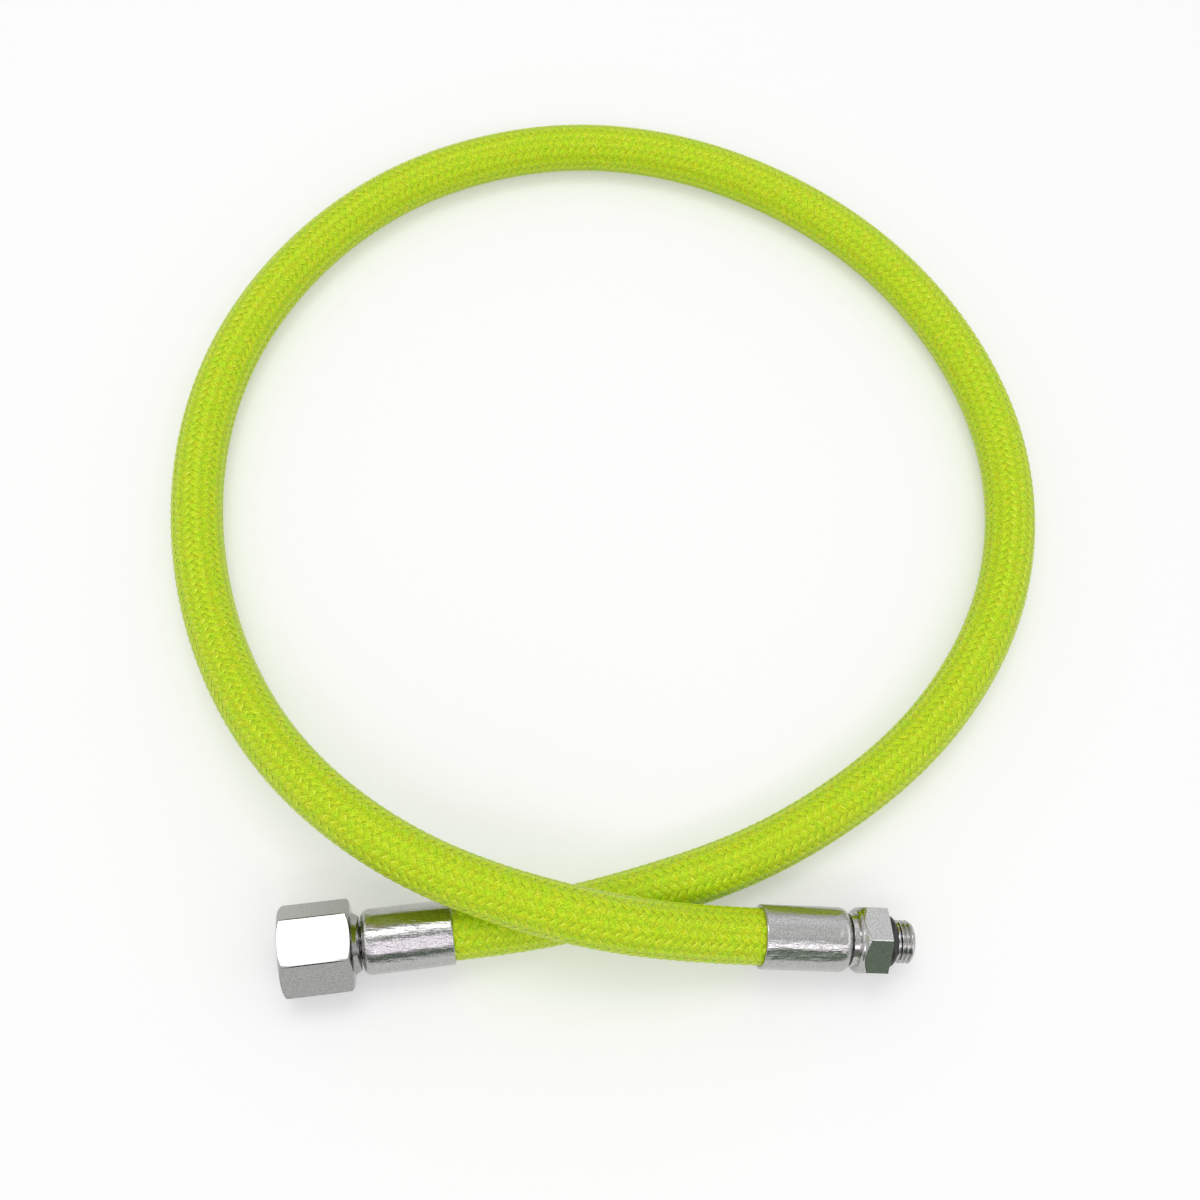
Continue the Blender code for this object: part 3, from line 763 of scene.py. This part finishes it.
def add_male_stem(material):
    """Neck, collar, hexagon, seal groove and a cut 3/8-24 thread."""
    pitch, major, depth = 0.0254 / 24, 0.00475, 0.00062
    thread_start, thread_end = 0.03058, 0.03438
    neck_start, collar_start, neck = 0.0200, 0.0214, 0.0059
    hex_start, hex_end, rear_chamfer = 0.0221, 0.0282, 0.0012
    beyond = MALE_HEX_FLATS / math.sqrt(3) + 0.0003  # radius outside the hexagon's corners
    collar = MALE_HEX_FLATS / 2 - 0.00015
    face, ring_room, relief, ring_groove = 0.0063, 0.0059, 0.0001, 0.003525
    profile = rounded(
        [
            *barbed_tail(),
            (neck_start, CRIMP_GROOVE_RADIUS),
            (neck_start, neck),
            (collar_start, neck),
            (collar_start, collar - 0.0004),
            (collar_start + 0.0004, collar),
            (hex_start, collar),
            (hex_start + rear_chamfer, beyond),
            (hex_end - (beyond - face) * math.tan(math.radians(30)), beyond),
            (hex_end, face),
            (hex_end, ring_room),
            (hex_end - relief, ring_room),
            (hex_end - relief, ring_groove),
            (thread_start, ring_groove),
            (thread_start, major - 0.0005),
            (thread_start + 0.0004, major),
            (thread_end - 0.0005, major),
            (thread_end, major - 0.0006),
            (thread_end, BORE_RADIUS + BORE_CHAMFER),
            (thread_end - BORE_CHAMFER, BORE_RADIUS),
            (TAIL_START + BORE_CHAMFER, BORE_RADIUS),
        ],
        0.00010,
    )
    # Rings close together along the thread and the hexagon. The step from the hexagon to its front
    # face counts as hexagon, so the full radius goes on for six sevenths of that step.
    outline = []
    for i, point in enumerate(profile):
        outline.append(point)
        following = profile[(i + 1) % len(profile)]
        length = following[0] - point[0]
        on_thread = abs(point[1] - major) < 1e-5 and abs(following[1] - major) < 1e-5
        on_hexagon = hex_start + 0.001 < point[0] < hex_end
        if on_thread and length > 0.001:
            outline += [(s, major) for s in np.linspace(point[0], following[0], 46)[1:-1]]
        elif on_hexagon and length > 0.001:
            outline += [(s, point[1]) for s in np.linspace(point[0], following[0], 8)[1:-1]]
    # And along the steep steps that cross the hexagon's corners
    dense = []
    for i, point in enumerate(outline):
        dense.append(point)
        following = outline[(i + 1) % len(outline)]
        if abs(following[1] - point[1]) > 0.0006 and max(point[1], following[1]) > collar:
            for t in np.linspace(0, 1, 14)[1:-1]:
                dense.append(tuple(p + (q - p) * t for p, q in zip(point, following)))

    def shape(stations, radii, theta):
        hexagon = hexagon_radius(theta, MALE_HEX_FLATS, MALE_HEX_TURN, MALE_CORNER_RADIUS)
        radii = soft_min(radii, hexagon)
        cut = thread_depth(stations, theta, thread_start + 0.0001, thread_end, pitch, depth)
        threaded = (stations > thread_start) & (radii > 0.0040)
        return stations, np.where(threaded, radii - cut, radii)

    # Painted highlight: a thin light line along each rounded edge of the hexagon
    def painted_edge_lines(stations, theta):
        on_hexagon = (stations > hex_start + 0.0011) & (stations < hex_end - 0.0003)
        edge = hexagon_edges(theta, MALE_HEX_FLATS, MALE_HEX_TURN, MALE_CORNER_RADIUS)
        return np.where(on_hexagon, -edge, 0.0)

    angles = hexagon_angles(MALE_HEX_FLATS, MALE_HEX_TURN, MALE_CORNER_RADIUS, 11, 4)
    stem = turned_piece(
        "dressed_male_stem", dense, angles, MALE_END, material, "hose_assembly", shape, painted_edge_lines
    )
    keep_flats_flat(stem)
    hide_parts("male_stem")
    return stem


def add_swivel_stem(material):
    """Shaft, flange and spigot inside the nut."""
    shaft_start, shaft = 0.0199, 0.0043
    flange_start, flange_end, flange = 0.0248, 0.0268, 0.00608
    groove_start, groove_end, ring_groove = 0.02822, 0.0306, 0.002735
    spigot_end, spigot = 0.0324, 0.0045
    outline = rounded(
        [
            *barbed_tail(),
            (shaft_start, CRIMP_GROOVE_RADIUS),
            (shaft_start, shaft),
            (flange_start, shaft),
            (flange_start, flange),
            (flange_end, flange),
            (flange_end, spigot),
            (groove_start, spigot),
            (groove_start, ring_groove),
            (groove_end, ring_groove),
            (groove_end, spigot),
            (spigot_end - BORE_CHAMFER, spigot),
            (spigot_end, spigot - BORE_CHAMFER),
            (spigot_end, BORE_RADIUS + BORE_CHAMFER),
            (spigot_end - BORE_CHAMFER, BORE_RADIUS),
            (TAIL_START + BORE_CHAMFER, BORE_RADIUS),
        ],
        0.00012,
    )
    stem = turned_piece(
        "dressed_swivel_stem", outline, even_angles(72), SWIVEL_END, material, "hose_assembly"
    )
    keep_flats_flat(stem)
    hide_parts("swivel_stem")
    return stem


def add_swivel_nut(material):
    """Coned skirt, hexagon with rounded ends, and a cut 9/16-18 thread in its mouth."""
    pitch, minor, depth = 0.0254 / 18, 0.00638, 0.00066
    nut_start, hex_start, nut_end = 0.0200, 0.0216, 0.0373
    rear_wall, rear_hole, thread_start = 0.0245, 0.0046, 0.0285
    face, rounding = 0.0073, 0.0016  # radius of the flat ends, and length of their rounding
    beyond = NUT_HEX_FLATS / math.sqrt(3) + 0.0003  # radius outside the hexagon's corners
    arc = np.linspace(0, math.pi / 2, 34)
    inward = [rounding * (1 - math.cos(a)) for a in arc]
    radii = [face + (beyond - face) * math.sin(a) for a in arc]
    outline = [(nut_start, rear_hole), (nut_start, 0.0057), (nut_start + 0.0002, 0.0059)]
    outline += [(hex_start - 0.0001, 0.00670), (hex_start, 0.00680)]
    outline += [(hex_start + d, r) for d, r in zip(inward, radii)]
    flat = np.linspace(hex_start + rounding, nut_end - rounding, 8)[1:-1]
    outline += [(s, beyond) for s in flat]
    outline += [(nut_end - d, r) for d, r in zip(inward[::-1], radii[::-1])]
    outline += [(nut_end, 0.00710), (nut_end - 0.0005, minor + 0.0001)]
    outline += [(s, minor) for s in np.linspace(nut_end - 0.0007, thread_start, 84)]
    outline += [(rear_wall, minor), (rear_wall, rear_hole)]

    def shape(stations, radii, theta):
        hexagon = hexagon_radius(theta, NUT_HEX_FLATS, 0.0, NUT_CORNER_RADIUS)
        outer = soft_min(radii, hexagon)
        cut = thread_depth(stations, theta, thread_start, nut_end - 0.0003, pitch, depth)
        threaded = (np.abs(radii - minor) < 1e-5) & (stations > thread_start - 1e-6)
        return stations, np.where(threaded, radii + cut, outer)

    # Painted shade: a thin dark line along each rounded edge of the hexagon
    def painted_edge_lines(stations, theta):
        on_hexagon = (stations > hex_start + rounding) & (stations < nut_end - rounding)
        edge = hexagon_edges(theta, NUT_HEX_FLATS, 0.0, NUT_CORNER_RADIUS)
        return np.where(on_hexagon, edge, 0.0)

    angles = hexagon_angles(NUT_HEX_FLATS, 0.0, NUT_CORNER_RADIUS, 25, 6)
    nut = turned_piece(
        "dressed_swivel_nut", outline, angles, SWIVEL_END, material, "nut", shape, painted_edge_lines
    )
    keep_flats_flat(nut)
    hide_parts("swivel_nut")
    return nut


def add_o_ring(name, middle, inner_diameter, place, replaced):
    circle = inner_diameter / 2 + RING_RADIUS
    outline = [
        (middle + RING_RADIUS * math.cos(a), circle + RING_RADIUS * math.sin(a))
        for a in even_angles(20)
    ]
    rubber = rubber_material(f"{name}_rubber")
    ring = turned_piece(name, outline, even_angles(72), place, rubber, "hose_assembly")
    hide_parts(replaced)
    return ring


# The part


def add_hose():
    core = add_core()
    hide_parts("hose")
    halves = [
        add_sleeve_half("sleeve_right", 1, strand_material("lime_yarn_right", RIGHT_TINT)),
        add_sleeve_half("sleeve_left", -1, strand_material("lime_yarn_left", LEFT_TINT)),
    ]
    return core, halves


core, sleeve_halves = add_hose()
ferrule_chrome = chrome_material("crimped_chrome", 0.45, 0.00012, 0.000004, 0.06, 0.000050)
turned_chrome = chrome_material("turned_chrome", 0.46, 0.00002, 0.000004, 0.07)
nut_chrome = chrome_material("nut_chrome", 0.355, 0.000004, 0.000002, 0.08)
fittings = [
    add_ferrule(
        "dressed_swivel_ferrule",
        SWIVEL_END,
        ferrule_chrome,
        "swivel_ferrule",
        math.pi / CRIMP_MARKS,
    ),
    add_ferrule("dressed_male_ferrule", MALE_END, ferrule_chrome, "male_ferrule", 0.0),
    add_male_stem(turned_chrome),
    add_swivel_stem(turned_chrome),
    add_swivel_nut(nut_chrome),
    add_o_ring("dressed_male_o_ring", 0.02939, 0.00765, MALE_END, "male_o_ring"),
    add_o_ring("dressed_spigot_o_ring", 0.02941, 0.00607, SWIVEL_END, "spigot_o_ring"),
]


# Studio

WORLD_LEVEL = 0.66  # of the even light on the object
FLOOR_REACH = 12.0  # half the floor's width
FLOOR_LEVEL = -0.0001  # just under the part
FLOOR_COLOUR = (0.78, 0.78, 0.78, 1)
FLOOR_LIFT, FLOOR_LIFT_FAR = 0.30, 0.47  # what the floor adds to its lit colour, near and far
FLOOR_NEAR, FLOOR_FAR = 0.25, 1.6  # distances from the part's middle
ROOM_SCALE = 4.0  # the ramps' colours stop at 1, so the brightest panels are this bright
RIGHT_ROOM_FROM = 0.22  # share of X in a direction from which the right room is seen alone
SIDE_ROOM_FROM, SIDE_ROOM_TO = 0.52, 0.70  # the same, either way, for the side room
WHITE = (1, 1, 1, 1)


def grey(level, red=1.0, green=1.0, blue=1.0):
    return (level * red / ROOM_SCALE, level * green / ROOM_SCALE, level * blue / ROOM_SCALE)


# What the plating reflects, by the angle in degrees from the front over the top to the back
LEFT_ROOM = [
    (0, grey(0.40)),
    (3, grey(0.12, 0.9, 1.1, 0.9)),
    (20, grey(0.10, 0.9, 1.1, 0.9)),
    (24, grey(0.45, 0.95, 1.05, 0.95)),
    (36, grey(0.60, 1.0, 1.0, 1.0)),
    (42, grey(1.4, 1.06, 0.90, 1.08)),
    (67, grey(2.1, 1.01, 0.98, 1.02)),
    (71, grey(0.14)),
    (80, grey(0.12)),
    (85, grey(1.0)),
    (96.5, grey(0.90)),
    (99.5, grey(3.7)),
    (112.5, grey(3.7)),
    (115.5, grey(0.70)),
    (128, grey(0.95)),
    (133, grey(0.10, 1.0, 1.0, 0.8)),
    (137, grey(0.44, 1.10, 1.03, 0.28)),
    (168, grey(0.44, 1.10, 1.03, 0.28)),
    (173, grey(0.90)),
    (180, grey(0.50, 1.0, 1.0, 0.60)),
]
RIGHT_ROOM = [
    (0, grey(0.30, 0.92, 1.15, 0.86)),
    (10, grey(0.25, 0.92, 1.15, 0.86)),
    (31, grey(0.25, 0.92, 1.15, 0.86)),
    (36, grey(0.55, 1.1, 0.9, 1.1)),
    (40, grey(1.2, 1.1, 0.85, 1.12)),
    (43, grey(2.8)),
    (53, grey(2.8)),
    (57, grey(1.0, 1.08, 0.92, 1.1)),
    (61, grey(0.80)),
    (76, grey(0.80)),
    (100, grey(0.92)),
    (128, grey(0.98, 1.0, 0.99, 1.01)),
    (137, grey(1.14, 1.0, 0.99, 1.01)),
    (150, grey(1.10)),
    (165, grey(0.75)),
    (180, grey(0.65)),
]
# What it reflects past the two ends of those bands, by the height in degrees
SIDE_ROOM = [
    (0, grey(0.30)),
    (5, grey(0.34)),
    (9, grey(0.85)),
    (26, grey(0.80)),
    (31, grey(1.7)),
    (47, grey(1.7)),
    (53, grey(0.60)),
    (90, grey(0.80)),
]


def light_path(nodes, links, *rays):
    """1 for any of the named kinds of ray, else 0."""
    seen = nodes.new("ShaderNodeLightPath")
    result = seen.outputs[rays[0]]
    for ray in rays[1:]:
        result = math_node(nodes, links, "MAXIMUM", result, seen.outputs[ray])
    return result


def add_floor():
    """A pale floor that the camera and the plating see as white, apart from the shadows on it."""
    mesh = bpy.data.meshes.new("studio_floor")
    signs = [(-1, -1), (1, -1), (1, 1), (-1, 1)]
    corners = [(x * FLOOR_REACH, y * FLOOR_REACH, FLOOR_LEVEL) for x, y in signs]
    mesh.from_pydata(corners, [], [(0, 1, 2, 3)])
    material, nodes, links, shader = new_material("studio_floor")
    shader.inputs["Base Color"].default_value = FLOOR_COLOUR
    shader.inputs["Roughness"].default_value = 1.0
    shader.inputs["Specular IOR Level"].default_value = 0.0
    shader.inputs["Emission Color"].default_value = WHITE
    away = nodes.new("ShaderNodeVectorMath")
    away.operation = "LENGTH"
    links.new(nodes.new("ShaderNodeTexCoord").outputs["Object"], away.inputs[0])
    distance = away.outputs["Value"]
    lift = value_range(
        nodes, links, distance, FLOOR_LIFT, FLOOR_LIFT_FAR, FLOOR_NEAR, FLOOR_FAR
    )
    seen = light_path(nodes, links, "Is Camera Ray", "Is Glossy Ray", "Is Transmission Ray")
    links.new(math_node(nodes, links, "MULTIPLY", seen, lift), shader.inputs["Emission Strength"])
    mesh.materials.append(material)
    floor = bpy.data.objects.new("studio_floor", mesh)
    bpy.context.scene.collection.objects.link(floor)


def add_panel_light(name, location, target, size, strength, colour=(1, 1, 1)):
    """A soft box: size in metres, strength as the brightness of its face."""
    data = bpy.data.lights.new(name, "AREA")
    data.shape = "RECTANGLE"
    data.size, data.size_y = size
    data.energy = strength * math.pi * size[0] * size[1]
    data.color = colour
    light = bpy.data.objects.new(name, data)
    bpy.context.scene.collection.objects.link(light)
    light.location = location
    light.rotation_euler = (Vector(target) - Vector(location)).to_track_quat("-Z", "Y").to_euler()
    light.visible_camera = False
    light.visible_glossy = False


def room_bands(nodes, links, turn, stops):
    """A room's colours by an angle, which the stops give in degrees from 0 to 180."""
    bands = ramp(nodes, [(angle / 180, colour) for angle, colour in stops])
    links.new(value_range(nodes, links, turn, 0.0, 1.0, 0.0, math.pi), bands.inputs["Fac"])
    return bands.outputs["Color"]


def add_world():
    """White for the camera, even light for the object, and a banded studio in the reflections."""
    world = bpy.data.worlds.new("studio")
    bpy.context.scene.world = world
    world.use_nodes = True
    nodes, links = world.node_tree.nodes, world.node_tree.links
    even = nodes["Background"]
    even.inputs["Color"].default_value = WHITE
    even.inputs["Strength"].default_value = WORLD_LEVEL
    white = nodes.new("ShaderNodeBackground")
    white.inputs["Color"].default_value = WHITE

    direction = nodes.new("ShaderNodeSeparateXYZ")
    links.new(nodes.new("ShaderNodeTexCoord").outputs["Generated"], direction.inputs["Vector"])
    x, y, z = (direction.outputs[axis] for axis in "XYZ")
    ahead = math_node(nodes, links, "MULTIPLY", y, -1.0)
    turn = math_node(nodes, links, "ARCTAN2", z, ahead)
    height = math_node(nodes, links, "ARCSINE", z)
    rightward = value_range(nodes, links, x, 0.0, 1.0, 0.0, RIGHT_ROOM_FROM, smooth=True)
    either_way = math_node(nodes, links, "ABSOLUTE", x)
    sideways = value_range(nodes, links, either_way, 0.0, 1.0, SIDE_ROOM_FROM, SIDE_ROOM_TO)
    left, right = (room_bands(nodes, links, turn, stops) for stops in (LEFT_ROOM, RIGHT_ROOM))
    along = mixed(nodes, links, rightward, left, right)
    sides = room_bands(nodes, links, height, SIDE_ROOM)
    room = nodes.new("ShaderNodeBackground")
    links.new(mixed(nodes, links, sideways, along, sides), room.inputs["Color"])
    room.inputs["Strength"].default_value = ROOM_SCALE

    lit = nodes.new("ShaderNodeMixShader")
    links.new(light_path(nodes, links, "Is Glossy Ray", "Is Transmission Ray"), lit.inputs["Fac"])
    links.new(even.outputs["Background"], lit.inputs[1])
    links.new(room.outputs["Background"], lit.inputs[2])
    seen = nodes.new("ShaderNodeMixShader")
    links.new(light_path(nodes, links, "Is Camera Ray"), seen.inputs["Fac"])
    links.new(lit.outputs["Shader"], seen.inputs[1])
    links.new(white.outputs["Background"], seen.inputs[2])
    links.new(seen.outputs["Shader"], nodes["World Output"].inputs["Surface"])


add_floor()
add_world()
add_panel_light(
    "overhead_box", location=(-0.10, 0.18, 0.95), target=(0, 0, 0), size=(0.55, 0.42), strength=2.25
)
add_panel_light(
    "front_strip",
    location=(0.10, -0.80, 0.85),
    target=(0, -0.1, 0),
    size=(0.9, 0.16),
    strength=3.0,
    colour=(1.0, 0.97, 1.0),
)

bpy.context.scene.view_settings.view_transform = "Standard"

bpy.context.view_layer.update()
